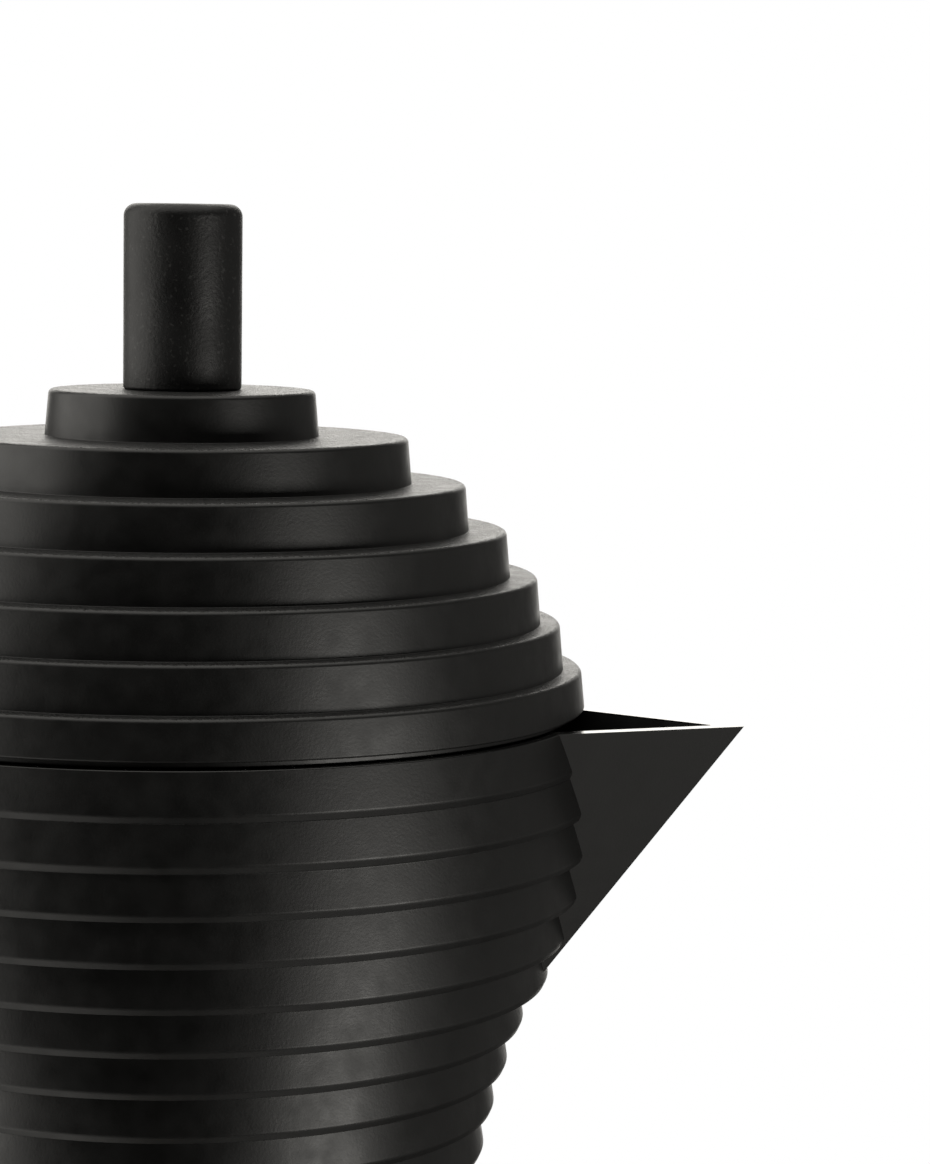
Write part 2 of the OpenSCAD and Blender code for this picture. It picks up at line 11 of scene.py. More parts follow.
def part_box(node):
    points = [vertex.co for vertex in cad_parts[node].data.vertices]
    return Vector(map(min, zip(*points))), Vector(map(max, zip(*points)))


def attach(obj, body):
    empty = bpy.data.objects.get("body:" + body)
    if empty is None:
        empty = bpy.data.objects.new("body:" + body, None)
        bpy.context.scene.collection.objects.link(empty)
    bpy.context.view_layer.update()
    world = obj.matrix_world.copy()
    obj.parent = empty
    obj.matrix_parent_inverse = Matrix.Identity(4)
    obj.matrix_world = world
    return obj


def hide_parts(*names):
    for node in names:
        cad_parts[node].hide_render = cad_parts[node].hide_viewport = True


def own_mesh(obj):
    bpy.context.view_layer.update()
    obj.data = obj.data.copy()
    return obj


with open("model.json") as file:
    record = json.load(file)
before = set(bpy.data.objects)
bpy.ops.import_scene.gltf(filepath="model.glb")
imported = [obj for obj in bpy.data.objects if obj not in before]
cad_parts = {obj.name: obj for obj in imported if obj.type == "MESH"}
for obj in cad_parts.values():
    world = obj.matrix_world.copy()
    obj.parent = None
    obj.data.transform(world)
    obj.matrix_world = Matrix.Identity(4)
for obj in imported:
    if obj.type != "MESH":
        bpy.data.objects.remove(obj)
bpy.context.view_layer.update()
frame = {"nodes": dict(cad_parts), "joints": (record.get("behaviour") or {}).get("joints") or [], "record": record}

MM = 0.001  # the pieces are built in millimetres, and dress() brings them to metres
SEGMENTS = 216  # faces round a turned piece
FINE = 96  # faces round a small rod that shows
SHARP_ANGLE = radians(28)  # an edge sharper than this keeps its crease

joints = {j["name"]: j for j in frame["joints"]}
body_of = {n: b for b, names in frame["record"]["behaviour"]["bodies"].items() for n in names}
slot_of = {s["node"]: s["material_slot"] for s in frame["record"]["subparts"]}


# ---------------------------------------------------------------- sizes, from the frame

def low(node):
    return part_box(node)[0] / MM


def high(node):
    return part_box(node)[1] / MM


# Sizes that the frame doesn't give: the same numbers as the CAD's, in millimetres
WAIST_R = 33.4
BASE_BAND = 35.7
FOOT_CHAMFER = 1.2
BOILER_FLOOR = 4
BOILER_RINGS = 9
BOILER_WALL = 2.6
NECK_WALL = 2.2
CHAMBER_RINGS = 13
CHAMBER_WALL = 2.6
CHAMBER_FLOOR = 3.4
SKIRT_WALL = 1.8
SKIRT_GAP = 0.8
RING_H = 5
RIM_LAND = 0.3
RING_DRAFT = 0.7
MIN_LEDGE = 0.25
THREAD_PITCH = 3
THREAD_DEPTH = 1.3
THREAD_GAP = 0.3
THREAD_TURNS = 2
SPOUT_WALL = 1.6
SPOUT_HALF_ANGLE = radians(29)
KEEL_SLOPE = radians(52.6)
LID_DISCS = 7
LID_GAP = 0.75
LID_TOP_T = 5.4
LID_WALL = 2.2
DISC_DRAFT = 0.45
TOP_DISC_R = 15.3
KNUCKLE_R = 3
KNUCKLE_HALF_W = 5.6
EAR_Y = 6
EAR_T = 3.5
HINGE_RISE = 0.4
ARM_H = 15
GRIP_T = 14
HANDLE_ROUND = 4.5
TANG_H = 6
TANG_W = 10
TANG_L = 24
TANG_GAP = 0.15
SCREW_HOLE_R = 2.15
INSERT_R = 3.2
SPRING_TURNS = 6

# Roundings of the visual meshes
EDGE = 0.2  # a ring's top edge
FOOT = 0.3  # the corner under a neck or skirt
SOFT = 0.4  # the edge of a small part
CURVED = 20  # a corner inside a vessel, large enough to run into the next

PAST = 1  # how far a cut passes beyond the face that it opens

shoulder_z = joints["unscrew"]["pos_m"][2] / MM
hinge_x, hinge_z = (joints["lid_hinge"]["pos_m"][i] / MM for i in (0, 2))
hinge_at = Vector((hinge_x, 0, hinge_z))
rim_z = hinge_z - HINGE_RISE
lid_top = low("knob").z
neck_top = high("boiler").z
flange_top = high("funnel").z
floor_under = high("gasket").z
base_r = high("boiler").x
lid_r = high("lid").y
belly_r = high("upper_chamber").y
screw_x = (low("handle_screw").x + high("handle_screw").x) / 2
tang_z = low("handle_insert").z - TANG_GAP - TANG_H / 2
tang_end = -(belly_r + TANG_L)

chamber_h = rim_z - shoulder_z
lid_h = lid_top - rim_z
disc_h = lid_h / LID_DISCS
floor_z = floor_under + CHAMBER_FLOOR
skirt_r = WAIST_R - RING_DRAFT - SKIRT_WALL
neck_crest_r = skirt_r - THREAD_GAP
neck_r = neck_crest_r - THREAD_DEPTH
neck_bore_r = neck_r - NECK_WALL


# ---------------------------------------------------------------- mesh tools

def new_piece(name, verts, faces):
    """An object with this mesh, its faces turned outwards."""
    mesh = bpy.data.meshes.new(name)
    mesh.from_pydata([tuple(v) for v in verts], [], faces)
    mesh.validate()
    bm = bmesh.new()
    bm.from_mesh(mesh)
    bmesh.ops.recalc_face_normals(bm, faces=bm.faces)
    bm.to_mesh(mesh)
    bm.free()
    piece = bpy.data.objects.new(name, mesh)
    bpy.context.scene.collection.objects.link(piece)
    return piece


def corner(before, here, after, radius, steps):
    """The arc that rounds one corner of an outline."""
    to_before, to_after = before - here, after - here
    angle = to_before.angle(to_after)
    if radius <= 0 or angle > pi - 0.02:
        return [here]
    reach = min(radius / tan(angle / 2), 0.48 * to_before.length, 0.48 * to_after.length)
    a, b = to_before.normalized(), to_after.normalized()
    centre = here + (a + b).normalized() * reach / cos(angle / 2)
    start, end = here + a * reach - centre, here + b * reach - centre
    arc = [start.normalized().slerp(end.normalized(), k / steps) for k in range(steps + 1)]
    return [centre + spoke * start.length for spoke in arc]


def rounded(outline, steps=4):
    """A closed outline of (x, y, corner radius) as plain points."""
    points = [Vector(p[:2]) for p in outline]
    out = []
    for i, p in enumerate(points):
        after = points[(i + 1) % len(points)]
        radius = outline[i][2] if len(outline[i]) > 2 else 0
        out += corner(points[i - 1], p, after, radius, steps)
    return out


def lathe(name, outline, segments=SEGMENTS, steps=4):
    """Turns a closed outline of (radius, height, corner radius) about Z."""
    profile = rounded(outline, steps)
    verts, rows = [], []
    for r, z in profile:
        count = 1 if r < 1e-4 else segments
        rows.append(range(len(verts), len(verts) + count))
        verts += [
            (r * cos(2 * pi * k / segments), r * sin(2 * pi * k / segments), z)
            for k in range(count)
        ]
    faces = []
    for i, row in enumerate(rows):
        other = rows[(i + 1) % len(rows)]
        if len(row) == 1 and len(other) == 1:
            continue
        for k in range(segments):
            n = (k + 1) % segments
            here, there = len(row), len(other)
            quad = [row[k % here], row[n % here], other[n % there], other[k % there]]
            faces.append(list(dict.fromkeys(quad)))
    return new_piece(name, verts, faces)


def swept(name, rings):
    """A closed skin over a row of rings with the same number of points."""
    sides = len(rings[0])
    verts = [p for ring in rings for p in ring]
    faces = [list(range(sides)), list(range(len(verts) - sides, len(verts)))]
    for i in range(len(rings) - 1):
        for j in range(sides):
            k = (j + 1) % sides
            a, b = i * sides, (i + 1) * sides
            faces.append([a + j, a + k, b + k, b + j])
    return new_piece(name, verts, faces)


def extruded(name, outline, start, end, place, steps=4):
    """A closed outline of (x, y, corner radius), pushed from height start to end, then placed."""
    flat = rounded(outline, steps)
    return swept(name, [[place @ Vector((p.x, p.y, h)) for p in flat] for h in (start, end)])


def soften(piece, width, segments=3):
    """Rounds every sharp edge of a simple solid."""
    bevel = piece.modifiers.new("round", "BEVEL")
    bevel.width = width
    bevel.segments = segments
    bevel.limit_method = "ANGLE"
    bevel.angle_limit = radians(35)
    return bake(piece)


def bake(piece):
    """Turns a piece's modifiers into its mesh."""
    graph = bpy.context.evaluated_depsgraph_get()
    mesh = bpy.data.meshes.new_from_object(piece.evaluated_get(graph))
    piece.modifiers.clear()
    piece.data = mesh
    return piece


def combine(piece, other, operation):
    """Joins other to piece, or cuts it away, and deletes other."""
    step = piece.modifiers.new("step", "BOOLEAN")
    step.operation = operation
    step.solver = "MANIFOLD"
    step.object = other
    bake(piece)
    bpy.data.objects.remove(other)
    return piece


def add(piece, *others):
    for other in others:
        combine(piece, other, "UNION")
    return piece


def cut(piece, *others):
    for other in others:
        combine(piece, other, "DIFFERENCE")
    return piece


def rod(name, radius, start, end, round_r=0.0, segments=64):
    """A round bar between two points."""
    axis = end - start
    outline = [(0, 0), (radius, 0, round_r), (radius, axis.length, round_r), (0, axis.length)]
    piece = lathe(name, outline, segments)
    turn = axis.to_track_quat("Z", "Y").to_matrix().to_4x4()
    piece.data.transform(Matrix.Translation(start) @ turn)
    return piece


def block(name, corner_a, corner_b, round_r=0.0):
    """A box between two corners, with its edges rounded."""
    (x0, y0, z0), (x1, y1, z1) = corner_a, corner_b
    outline = [(x0, y0), (x1, y0), (x1, y1), (x0, y1)]
    piece = extruded(name, outline, z0, z1, Matrix.Identity(4))
    return soften(piece, round_r) if round_r else piece


def thread(name, root_r, tip_r, z):
    """A ridge wound round Z, sunk a little into the wall that it stands on."""
    root_r += 0.4 if tip_r < root_r else -0.4
    root_w, tip_w = 0.31 * THREAD_PITCH, 0.16 * THREAD_PITCH
    section = [(root_r, -root_w), (tip_r, -tip_w), (tip_r, tip_w), (root_r, root_w)]
    steps = 72
    rings = []
    for i in range(THREAD_TURNS * steps + 1):
        a, rise = 2 * pi * i / steps, z + THREAD_PITCH * i / steps
        rings.append([(r * cos(a), r * sin(a), rise + h) for r, h in section])
    return swept(name, rings)


# ---------------------------------------------------------------- materials

def node_in(tree, kind, inputs, **settings):
    """A node with its settings and inputs; an input that is a socket is linked."""
    node = tree.nodes.new(kind)
    for key, value in settings.items():
        setattr(node, key, value)
    for key, value in inputs.items():
        if isinstance(value, bpy.types.NodeSocket):
            tree.links.new(value, node.inputs[key])
        else:
            node.inputs[key].default_value = value
    return node


def number(tree, operation, *values):
    """The result of a Math node."""
    return node_in(tree, "ShaderNodeMath", dict(enumerate(values)), operation=operation).outputs[0]


def upright(tree, vector):
    """The Z part of a vector."""
    return node_in(tree, "ShaderNodeSeparateXYZ", {0: vector}).outputs["Z"]


def noise(tree, place, feature, detail=2.0, roughness=0.5):
    """Noise whose features are about this many metres across."""
    inputs = {"Vector": place, "Scale": 1 / feature, "Detail": detail, "Roughness": roughness}
    return node_in(tree, "ShaderNodeTexNoise", inputs).outputs["Fac"]


def spread(tree, value, out_low, out_high, in_low=0.3, in_high=0.7, shape="LINEAR"):
    """Maps a value to a range."""
    inputs = {"Value": value, "From Min": in_low, "From Max": in_high,
              "To Min": out_low, "To Max": out_high}
    return node_in(tree, "ShaderNodeMapRange", inputs, interpolation_type=shape).outputs["Result"]


def blend_colour(tree, factor, a, b):
    """Colour a where the factor is 0, and b where it is 1."""
    inputs = {0: factor, 6: (*a, 1), 7: (*b, 1)}
    return node_in(tree, "ShaderNodeMix", inputs, data_type="RGBA").outputs[2]


def blend_value(tree, factor, a, b):
    """Value a where the factor is 0, and b where it is 1."""
    return node_in(tree, "ShaderNodeMix", {0: factor, 2: a, 3: b}, data_type="FLOAT").outputs[0]


def bump(tree, height, depth, strength, normal=None):
    """A surface normal that follows a height of this many metres."""
    inputs = {"Height": height, "Distance": depth, "Strength": strength}
    if normal is not None:
        inputs["Normal"] = normal
    return node_in(tree, "ShaderNodeBump", inputs).outputs["Normal"]


def material(name, metallic=0.0, ior=1.5, specular=0.5):
    """A new material, its tree, its shader and the place on the piece."""
    mat = bpy.data.materials.new(name)
    mat.use_nodes = True
    tree = mat.node_tree
    shader = tree.nodes["Principled BSDF"]
    shader.inputs["Metallic"].default_value = metallic
    shader.inputs["IOR"].default_value = ior
    shader.inputs["Specular IOR Level"].default_value = specular
    place = tree.nodes.new("ShaderNodeTexCoord").outputs["Object"]
    return mat, tree, shader, place


def finish_nodes(tree, shader, colour, roughness, normal):
    tree.links.new(colour, shader.inputs["Base Color"])
    tree.links.new(roughness, shader.inputs["Roughness"])
    tree.links.new(normal, shader.inputs["Normal"])


def ground_rim(tree, place):
    """1 on the jug's rim and the spout's lip, which are ground flat and smoother than the rest."""
    return number(tree, "COMPARE", upright(tree, place), rim_z * MM, 0.12 * MM)


def on_ledges(tree, place, value):
    """A value kept on faces that look up along the piece's own axis, and 0 on the others."""
    facing = upright(tree, place.node.outputs["Normal"])
    return number(tree, "MULTIPLY", spread(tree, facing, 0, 1, 0.8, 0.97), value)


def cast_black():
    """Satin black coating over sand-cast metal: fine grain, grit on the ledges, faint clouds."""
    mat, tree, shader, place = material("cast_black", specular=0.62)
    grain = noise(tree, place, 0.32 * MM, 3.0, 0.6)
    swell = noise(tree, place, 2.6 * MM, 2.0)
    cloud = noise(tree, place, 9 * MM, 3.0)
    colour = blend_colour(tree, spread(tree, cloud, 0, 1),
                          (0.0028, 0.0028, 0.0027), (0.0045, 0.0045, 0.0043))
    ground = ground_rim(tree, place)
    rough = blend_value(tree, ground, spread(tree, swell, 0.36, 0.45), 0.16)
    fine = bump(tree, grain, 0.035 * MM, 0.35)
    normal = bump(tree, swell, 0.03 * MM, 0.25, fine)
    grit = spread(tree, noise(tree, place, 0.3 * MM, 2.0, 0.6), 0, 1, 0.45, 0.75)
    grit = blend_value(tree, ground, grit, 0)
    normal = bump(tree, on_ledges(tree, place, grit), 0.22 * MM, 0.85, normal)
    finish_nodes(tree, shader, colour, rough, normal)
    return mat


def moulded_black():
    """Moulded plastic with a spark-eroded grain and a few lighter specks."""
    mat, tree, shader, place = material("moulded_black", specular=0.5)
    grain = noise(tree, place, 0.42 * MM, 3.0, 0.65)
    pits = noise(tree, place, 1.1 * MM, 2.0, 0.6)
    speck = noise(tree, place, 0.5 * MM, 1.0)
    cloud = noise(tree, place, 5 * MM, 2.0)
    light = spread(tree, speck, 0, 1, 0.62, 0.74)
    colour = blend_colour(tree, light, (0.003, 0.003, 0.003), (0.03, 0.03, 0.029))
    rough = spread(tree, cloud, 0.42, 0.54)
    fine = bump(tree, grain, 0.07 * MM, 0.7)
    normal = bump(tree, pits, 0.08 * MM, 0.35, fine)
    finish_nodes(tree, shader, colour, rough, normal)
    return mat


def turned_metal(name, dark, light, rough_low, rough_high, stretch):
    """Bare metal with fine marks from a tool, drawn out along one axis."""
    mat, tree, shader, place = material(name, metallic=1.0)
    mapping = node_in(tree, "ShaderNodeMapping", {"Vector": place, "Scale": stretch})
    marks = noise(tree, mapping.outputs["Vector"], 0.25 * MM, 3.0, 0.6)
    cloud = noise(tree, place, 5 * MM, 3.0)
    colour = blend_colour(tree, spread(tree, cloud, 0, 1), dark, light)
    rough = spread(tree, marks, rough_low, rough_high)
    normal = bump(tree, marks, 0.015 * MM, 0.35)
    finish_nodes(tree, shader, colour, rough, normal)
    return mat


def seal_rubber():
    """Pale silicone: soft, matt, a little dusty."""
    mat, tree, shader, place = material("seal", ior=1.42)
    grain = noise(tree, place, 0.4 * MM, 2.0)
    cloud = noise(tree, place, 7 * MM, 2.0)
    colour = blend_colour(tree, spread(tree, cloud, 0, 1), (0.62, 0.6, 0.54), (0.74, 0.72, 0.66))
    rough = spread(tree, cloud, 0.55, 0.7)
    finish_nodes(tree, shader, colour, rough, bump(tree, grain, 0.03 * MM, 0.3))
    return mat


materials = {
    "cast_black": cast_black(),
    "moulded_black": moulded_black(),
    "bare_aluminium": turned_metal("bare_aluminium", (0.6, 0.6, 0.59), (0.72, 0.72, 0.71),
                                   0.28, 0.42, (1, 1, 6)),
    "brass": turned_metal("brass", (0.56, 0.38, 0.14), (0.68, 0.49, 0.2), 0.24, 0.36, (1, 6, 1)),
    "steel": turned_metal("steel", (0.46, 0.47, 0.48), (0.58, 0.59, 0.6), 0.2, 0.34, (1, 1, 5)),
    "seal": seal_rubber(),
}


def dress(piece, node):
    """Gives a piece the finish named by the slot of the CAD node that it stands for, puts it in that node's body
    and hides the node.
    """
    slot = slot_of[node]
    mesh = piece.data
    mesh.transform(Matrix.Scale(MM, 4))
    mesh.materials.clear()
    mesh.materials.append(materials[slot])
    mesh.shade_smooth()
    mesh.set_sharp_from_angle(angle=SHARP_ANGLE)
    even = piece.modifiers.new("even shading", "WEIGHTED_NORMAL")
    even.keep_sharp = True
    even.mode = "FACE_AREA"
    bake(piece)
    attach(piece, body_of[node])
    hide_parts(node)
    return piece


# ---------------------------------------------------------------- profile of the two vessels

# The chamber swells to its belly and then bends in to the waist.
# BELLY_T and BEND_T are shares of the way down from the rim to the waist.
BELLY_T = 0.168
BEND_T = 0.54
BELLY_CURVE = 4.08
BEND_SHARE = 1 - BELLY_CURVE * (BEND_T - BELLY_T) ** 2


def chamber_r(depth):
    """Outer radius at the foot of a ring, this far below the rim."""
    t = min(depth / chamber_h, 1)
    if t < BEND_T:
        share = 1 - BELLY_CURVE * (t - BELLY_T) ** 2
    else:
        share = BEND_SHARE * ((1 - t) / (1 - BEND_T)) ** 2
    return WAIST_R + (belly_r - WAIST_R) * share


def chamber_inner_r(depth):
    """Inner radius, this far below the rim."""
    return chamber_r(depth + RING_H) - RING_DRAFT - CHAMBER_WALL


def ring_depth(i):
    """How far the top of a ring of the chamber is below the rim; 0 is the topmost ring."""
    return 0 if i < 1 else RIM_LAND + i * RING_H


def boiler_ring_r(i):
    """Outer radius at the foot of a ring of the boiler; 0 is the lowest ring."""
    t = (i + 0.5) / BOILER_RINGS
    share = 1 - 2 * t * t if t < 0.5 else 2 * (1 - t) ** 2
    return WAIST_R + (base_r - WAIST_R) * share


def boiler_ring_z(i):
    return BASE_BAND + i * (shoulder_z - BASE_BAND) / BOILER_RINGS


def boiler_ring_top(i):
    leaned = boiler_ring_r(i) - RING_DRAFT
    return max(leaned, boiler_ring_r(i + 1) + MIN_LEDGE) if i < BOILER_RINGS - 1 else leaned


def chamber_ring_top(i):
    leaned = chamber_r(ring_depth(i + 1)) - RING_DRAFT
    return min(leaned, chamber_r(ring_depth(i)) - MIN_LEDGE) if i > 0 else leaned


def ring_foot(r, z):
    """The soft chamfer round a ring's foot."""
    return [(r - 0.35, z, 0.1), (r, z + 0.75, 0.7)]


def valve_point(out):
    """A point on the safety valve's axis, this far out from the pot's axis."""
    return Vector((0, -out, (low("valve_body").z + high("valve_body").z) / 2))


def make_boiler():
    outside = [(0, 0), (base_r - 0.4, 0, 1.4), (base_r, FOOT_CHAMFER, 2),
               (base_r - RING_DRAFT, BASE_BAND, EDGE)]
    for i in range(BOILER_RINGS):
        outside += ring_foot(boiler_ring_r(i), boiler_ring_z(i))
        outside.append((boiler_ring_top(i), boiler_ring_z(i + 1), EDGE))
    outside += [(neck_r, shoulder_z, FOOT), (neck_r, neck_top, 0.5), (0, neck_top)]
    ring_h = boiler_ring_z(1) - boiler_ring_z(0)
    side_r = base_r - RING_DRAFT - BOILER_WALL
    inside = [(0, BOILER_FLOOR), (side_r, BOILER_FLOOR, 5), (side_r, BASE_BAND - ring_h, CURVED)]
    inside += [(boiler_ring_r(i) - RING_DRAFT - BOILER_WALL, boiler_ring_z(i), CURVED)
               for i in range(BOILER_RINGS - 1)]
    inside += [(neck_bore_r, shoulder_z - BOILER_WALL, 2), (neck_bore_r, neck_top + PAST),
               (0, neck_top + PAST)]
    boss_r, boss_rise, valve_hole_r, thread_rise = 9, 1, 5.02, 2.6
    boss_face = base_r + boss_rise
    piece = lathe("boiler_casting", outside)
    add(piece, rod("boss", boss_r, valve_point(base_r - 8), valve_point(boss_face), 0.5))
    add(piece, thread("neck_thread", neck_r, neck_crest_r, shoulder_z + thread_rise))
    cut(piece, lathe("boiler_room", inside, steps=3))
    hole_start = valve_point(base_r - 9)
    cut(piece, rod("valve_hole", valve_hole_r, hole_start, valve_point(boss_face + PAST)))
    return dress(piece, "boiler")


def spout_wedge(name, inset, tip_round):
    """The V under the lip, as a bar whose section has a rounded point, laid along the keel."""
    across = atan2(tan(SPOUT_HALF_ANGLE), sin(KEEL_SLOPE))
    apex = -inset / sin(across)
    deep, reach = 30, 45
    wide = (deep + apex) * tan(across)
    outline = [(apex, 0, tip_round), (-deep, wide), (-deep, -wide)]
    tip = Vector((high("upper_chamber").x, 0, rim_z))
    place = Matrix.Translation(tip) @ Matrix.Rotation(pi / 2 - KEEL_SLOPE, 4, "Y")
    return extruded(name, outline, -reach, reach, place, steps=6)


def hinge_ear(side):
    """One ear with its eye, on the rim's outside."""
    y0, y1 = sorted((side * EAR_Y, side * (EAR_Y + EAR_T)))
    rim_r = chamber_r(ring_depth(1)) - RING_DRAFT
    foot_h, sink = 3.6, 1.5
    ends = [hinge_at + Vector((0, y, 0)) for y in (y0, y1)]
    eye = rod(f"ear_{side}", KNUCKLE_R, *ends, SOFT, FINE)
    low_corner, high_corner = (hinge_x, y0, rim_z - foot_h), (sink - rim_r, y1, rim_z)
    return add(eye, block(f"ear_{side}_foot", low_corner, high_corner, 0.35))


def screw_line(start_z, end_z):
    """Two points on the axis of the handle's screw."""
    return [Vector((screw_x, 0, z)) for z in (start_z, end_z)]


def make_chamber():
    skirt_z = shoulder_z + SKIRT_GAP
    outside = [(0, skirt_z), (WAIST_R, skirt_z, FOOT)]
    for i in reversed(range(CHAMBER_RINGS)):
        foot_z = max(rim_z - ring_depth(i + 1), skirt_z)
        if i < CHAMBER_RINGS - 1:
            outside += ring_foot(chamber_r(ring_depth(i + 1)), foot_z)
        outside.append((chamber_ring_top(i), rim_z - ring_depth(i), EDGE))
    outside.append((0, rim_z))
    floor_depth = rim_z - floor_z
    walls = int((floor_depth - 3) / RING_H)
    inside = [(0, floor_z), (chamber_inner_r(floor_depth), floor_z, 3)]
    inside += [(chamber_inner_r(i * RING_H), rim_z - i * RING_H, CURVED)
               for i in range(walls - 1, 0, -1)]
    mouth_r = chamber_inner_r(0)
    inside += [(mouth_r, rim_z), (mouth_r + 0.3, rim_z + PAST), (0, rim_z + PAST)]
    seal_r = neck_r + 0.2
    pocket_r = neck_bore_r - 4.8
    spigot_r = high("column").x - 1.5
    pocket_z = floor_under + 1.2
    step_z = flange_top + 0.3
    under = [(0, 0), (skirt_r, 0), (skirt_r, step_z), (seal_r, step_z), (seal_r, floor_under),
             (pocket_r, floor_under), (pocket_r, pocket_z, 0.5), (spigot_r, pocket_z),
             (spigot_r, floor_z + PAST), (0, floor_z + PAST)]
    piece = lathe("chamber_casting", outside)
    wedge = spout_wedge("spout_sides", 0, 0.25)
    span = [Vector((0, 0, z)) for z in (floor_z, rim_z)]
    combine(wedge, rod("spout_span", high("upper_chamber").x + PAST, *span), "INTERSECT")
    add(piece, wedge)
    cut(piece, lathe("chamber_room", inside, steps=3))
    cut(piece, spout_wedge("spout_channel", SPOUT_WALL, 0.4))
    round_lip(piece)
    sink, half_w, half_h = 2.3, TANG_W / 2, TANG_H / 2
    tang = block("tang", (tang_end, -half_w, tang_z - half_h),
                 (sink - belly_r, half_w, tang_z + half_h), 0.3)
    cut(tang, rod("tang_hole", SCREW_HOLE_R, *screw_line(tang_z - 9, tang_z + 9)))
    add(piece, tang, *(hinge_ear(side) for side in (-1, 1)))
    cut(piece, lathe("chamber_underside", under))
    pin_hole_r, ear_reach = 1.52, Vector((0, 12, 0))
    cut(piece, rod("pin_hole", pin_hole_r, hinge_at - ear_reach, hinge_at + ear_reach))
    thread_rise = 1.1
    add(piece, thread("skirt_thread", skirt_r, skirt_r - THREAD_DEPTH, shoulder_z + thread_rise))
    return dress(piece, "upper_chamber")


def round_lip(piece):
    """Takes the sharpness off the spout's lip, on the rim's plane beyond the lid."""
    bm = bmesh.new()
    bm.from_mesh(piece.data)
    beyond = chamber_r(ring_depth(1))
    lip = [e for e in bm.edges
           if all(abs(v.co.z - rim_z) < 1e-3 and v.co.x > beyond for v in e.verts)
           and e.calc_face_angle(0) > radians(25)]
    bmesh.ops.bevel(bm, geom=lip, offset=0.18, segments=3, profile=0.5, affect="EDGES",
                    clamp_overlap=True)
    bm.to_mesh(piece.data)
    bm.free()


def make_lid():
    """Seven discs whose feet follow a dome, hollowed by a smaller dome."""
    edge_r = lid_r - 0.6
    top_z = lid_h - disc_h
    dome_drop = (edge_r ** 2 - TOP_DISC_R ** 2 - top_z ** 2) / (2 * top_z)
    dome_r = sqrt(edge_r ** 2 + dome_drop ** 2)
    outside = [(0, rim_z + LID_GAP), (lid_r, rim_z + LID_GAP, 0.25)]
    for i in range(LID_DISCS):
        r = sqrt(dome_r ** 2 - (i * disc_h + dome_drop) ** 2) if i else lid_r
        if i:
            outside.append((r, rim_z + i * disc_h, 0.08))
        outside.append((r - DISC_DRAFT, rim_z + (i + 1) * disc_h, 0.55))
    outside.append((0, lid_top))
    inner_r, flat_z = dome_r - LID_WALL, lid_h - LID_TOP_T
    seat_r = lid_r - 1.2
    mouth_r = seat_r - 1
    arcs = 40
    low_angle, high_angle = (atan2(h, sqrt(inner_r ** 2 - h ** 2))
                             for h in (dome_drop + LID_GAP, dome_drop + flat_z))
    inside = [(0, rim_z - PAST), (mouth_r, rim_z - PAST), (mouth_r, rim_z + LID_GAP, 0.2)]
    for k in range(arcs + 1):
        a = low_angle + (high_angle - low_angle) * k / arcs
        inside.append((inner_r * cos(a), rim_z - dome_drop + inner_r * sin(a)))
    inside.append((0, rim_z + flat_z))
    piece = lathe("lid_casting", outside, steps=5)
    add(piece, lathe("lid_seat", [(0, rim_z + 0.05), (seat_r, rim_z + 0.05, 0.2),
                                  (seat_r, rim_z + disc_h / 2), (0, rim_z + disc_h / 2)]))
    side = Vector((0, KNUCKLE_HALF_W, 0))
    sink, pin_hole_r = 1.5, 1.55
    arm = block("lid_arm", (hinge_x, -KNUCKLE_HALF_W, rim_z + LID_GAP),
                (sink - lid_r, KNUCKLE_HALF_W, hinge_z + KNUCKLE_R), SOFT)
    add(piece, arm, rod("lid_knuckle", KNUCKLE_R, hinge_at - side, hinge_at + side, SOFT, FINE))
    cut(piece, lathe("lid_room", inside, steps=3))
    ends = [Vector((0, 0, z)) for z in (rim_z, lid_top + PAST)]
    cut(piece, rod("lid_screw_hole", SCREW_HOLE_R, *ends))
    cut(piece, rod("lid_pin_hole", pin_hole_r, hinge_at - 2 * side, hinge_at + 2 * side))
    return dress(piece, "lid")


def make_knob():
    r, top = high("knob").x, high("knob").z
    bore_top = lid_top + 10
    outline = [(INSERT_R, lid_top), (r, lid_top, 0.35), (r, top, 1.4), (0, top),
               (0, bore_top), (INSERT_R, bore_top)]
    return dress(lathe("knob_moulding", outline, 160, steps=8), "knob")


def handle_ring(x, z, tilt, thick, wide, inset):
    """Rounded rectangle across the handle, drawn in by inset; at tilt 0 it is across the arm."""
    steps = 7
    r = HANDLE_ROUND - 0.9 * inset
    up, out = thick / 2 - inset - r, wide / 2 - inset - r
    ring = []
    for k in range(4):
        mid = (k + 0.5) * pi / 2
        for j in range(steps + 1):
            a = (k + j / steps) * pi / 2
            p = (up if cos(mid) > 0 else -up) + r * cos(a)
            q = (out if sin(mid) > 0 else -out) + r * sin(a)
            ring.append((x - p * sin(tilt), q, z + p * cos(tilt)))
    return ring


